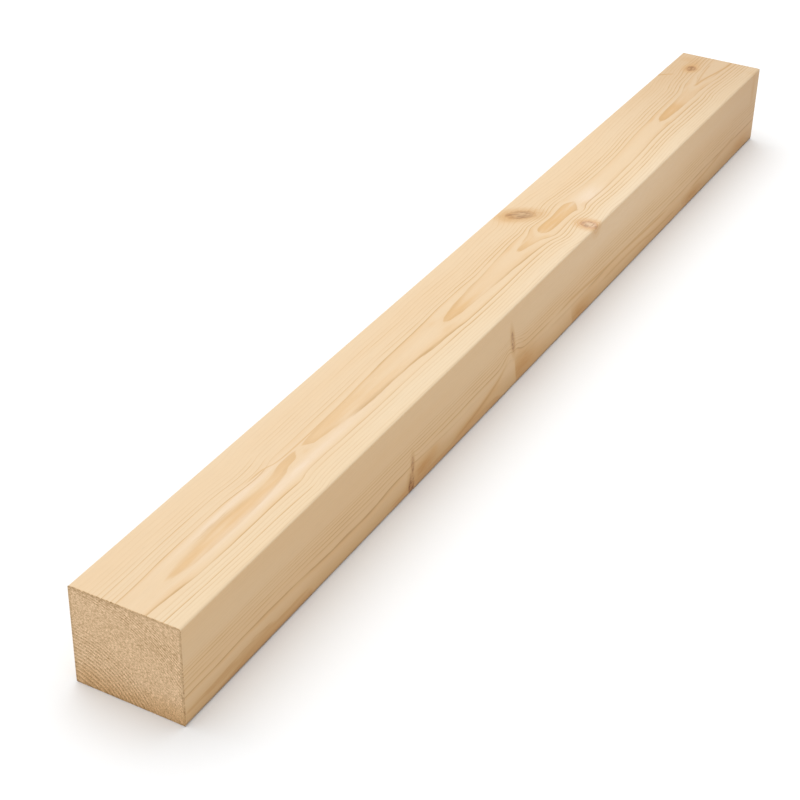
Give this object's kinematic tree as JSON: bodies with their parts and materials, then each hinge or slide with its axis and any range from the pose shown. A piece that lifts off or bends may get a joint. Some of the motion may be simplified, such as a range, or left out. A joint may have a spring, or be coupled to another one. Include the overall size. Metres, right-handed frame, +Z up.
{
  "type": "planed softwood timber batten",
  "caption": "Short straight length of planed softwood timber with a nearly square section, eased long edges and square-cut ends.",
  "frame": {"origin": "middle of the face that the timber lies on", "axes": "+X along the length and the grain, +Y across the wide faces, +Z up through the thickness"},
  "size_m": [0.61, 0.05, 0.046],
  "materials": {
    "planed_softwood": "planed, bare, dry"
  },
  "bodies": {
    "root": {"timber_batten": "planed_softwood"}
  },
  "joints": []
}
